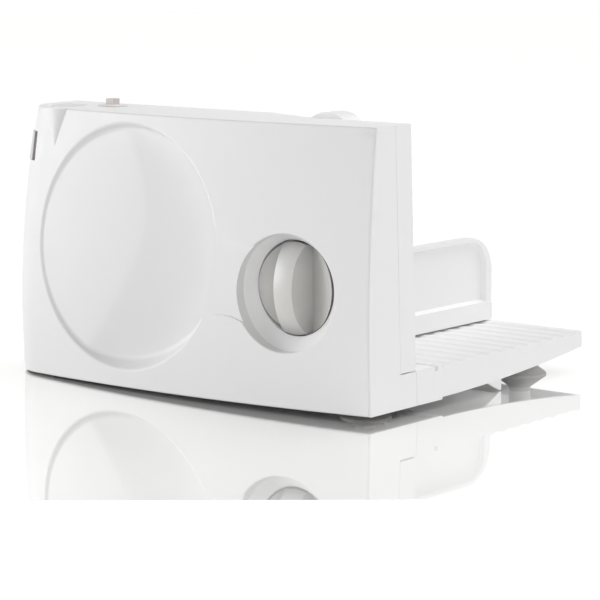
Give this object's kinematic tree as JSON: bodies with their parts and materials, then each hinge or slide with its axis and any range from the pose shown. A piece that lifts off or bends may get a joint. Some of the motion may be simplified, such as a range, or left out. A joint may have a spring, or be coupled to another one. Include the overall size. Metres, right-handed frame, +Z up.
{
  "type": "electric food slicer",
  "caption": "White electric food slicer: upright housing with dished face and thickness knob, serrated round blade, sliding fence, fold-out ribbed table, carriage and spiked pusher.",
  "frame": {"origin": "on the floor under the middle of the whole part", "axes": "+X along the housing towards the knob end, +Y from the dished face towards the blade and the table, +Z up"},
  "size_m": [0.3872, 0.31, 0.2293],
  "materials": {
    "housing": "satin white",
    "knob_grey": "satin light grey",
    "control_grey": "satin warm grey",
    "blade_steel": "ground",
    "steel": "plain",
    "motor_metal": "satin",
    "dark_plastic": "matte",
    "pale_plastic": "matte",
    "bronze": "plain",
    "rubber": "matte",
    "foot_rubber": "matte pale",
    "board": "matte"
  },
  "bodies": {
    "machine": {"front_shell": "housing", "inner_wall": "housing", "blade_hood": "housing", "base_block": "housing", "bottom_plate": "housing", "suction_feet": "foot_rubber", "bottom_screws": "steel", "wall_screws": "steel", "hood_screws": "steel", "cord_inlet": "dark_plastic", "axle_bush": "bronze", "motor_can": "motor_metal", "motor_end_bell": "dark_plastic", "motor_rings": "rubber", "spindle_bush": "pale_plastic", "power_switch": "dark_plastic", "slide_switch_body": "dark_plastic", "safety_switch": "dark_plastic", "switch_bracket": "dark_plastic", "bracket_screws": "steel", "circuit_board": "board", "hinge_pin": "steel", "button_spring": "steel"},
    "blade_unit": {"blade": "blade_steel", "drive_plate": "pale_plastic", "blade_axle": "steel", "worm_wheel": "pale_plastic"},
    "lock": {"blade_lock": "pale_plastic"},
    "motor_spindle": {"motor_shaft": "steel", "motor_rotor": "motor_metal", "motor_fan": "dark_plastic"},
    "thickness_knob": {"knob": "knob_grey", "knob_spindle": "steel"},
    "fence": {"fence_plate": "housing"},
    "power_key": {"power_button": "control_grey"},
    "slide_key": {"slide_switch": "control_grey"},
    "safety_key": {"safety_button": "control_grey"},
    "table": {"fold_table": "housing", "table_feet": "foot_rubber"},
    "runner": {"carriage_runner": "housing"},
    "carriage": {"carriage_wall": "housing", "carriage_platform": "housing", "carriage_screws": "steel"},
    "pusher_unit": {"pusher": "housing"}
  },
  "joints": [
    {"name": "blade_spin", "type": "hinge", "parent": "machine", "child": "blade_unit", "pos_m": [0.0115, -0.067, 0.1165], "axis": [0, 1, 0], "continuous": true},
    {"name": "lock_turn", "type": "hinge", "parent": "blade_unit", "child": "lock", "pos_m": [0.0115, -0.067, 0.1165], "axis": [0, 1, 0], "range_deg": [0, 90]},
    {"name": "motor_spin", "type": "hinge", "parent": "machine", "child": "motor_spindle", "pos_m": [0.0115, -0.112, 0.1525], "axis": [-1, 0, 0], "continuous": true},
    {"name": "knob_turn", "type": "hinge", "parent": "machine", "child": "thickness_knob", "pos_m": [0.1155, -0.135, 0.0967], "axis": [0, 1, 0], "range_deg": [0, 300]},
    {"name": "fence_slide", "type": "slide", "parent": "machine", "child": "fence", "axis": [0, 1, 0], "range_m": [0, 0.019]},
    {"name": "power_press", "type": "slide", "parent": "machine", "child": "power_key", "axis": [0, 0, -1], "range_m": [0, 0.003], "stiffness_N_per_m": 400, "deforming": ["button_spring"]},
    {"name": "slide_shift", "type": "slide", "parent": "machine", "child": "slide_key", "axis": [1, 0, 0], "range_m": [-0.003, 0.003]},
    {"name": "safety_press", "type": "slide", "parent": "machine", "child": "safety_key", "axis": [1, 0, 0], "range_m": [0, 0.003], "stiffness_N_per_m": 400},
    {"name": "table_fold", "type": "hinge", "parent": "machine", "child": "table", "pos_m": [0, -0.0429, 0.0287], "axis": [1, 0, 0], "range_deg": [0, 90]},
    {"name": "carriage_slide", "type": "slide", "parent": "machine", "child": "runner", "axis": [1, 0, 0], "range_m": [-0.11, 0.08]},
    {"name": "carriage_lift", "type": "slide", "parent": "runner", "child": "carriage", "axis": [0, 0, 1], "range_m": [0, 0.332]},
    {"name": "pusher_slide", "type": "slide", "parent": "carriage", "child": "pusher_unit", "axis": [0, 1, 0], "range_m": [-0.006, 0.16]}
  ],
  "couplings": [
    {"joint": "motor_spin", "follows": "blade_spin", "ratio": 40},
    {"joint": "knob_turn", "follows": "fence_slide", "rad_per_m": 275.58},
    {"joint": "carriage_lift", "follows": "table_fold", "m_per_rad": 0.211}
  ]
}
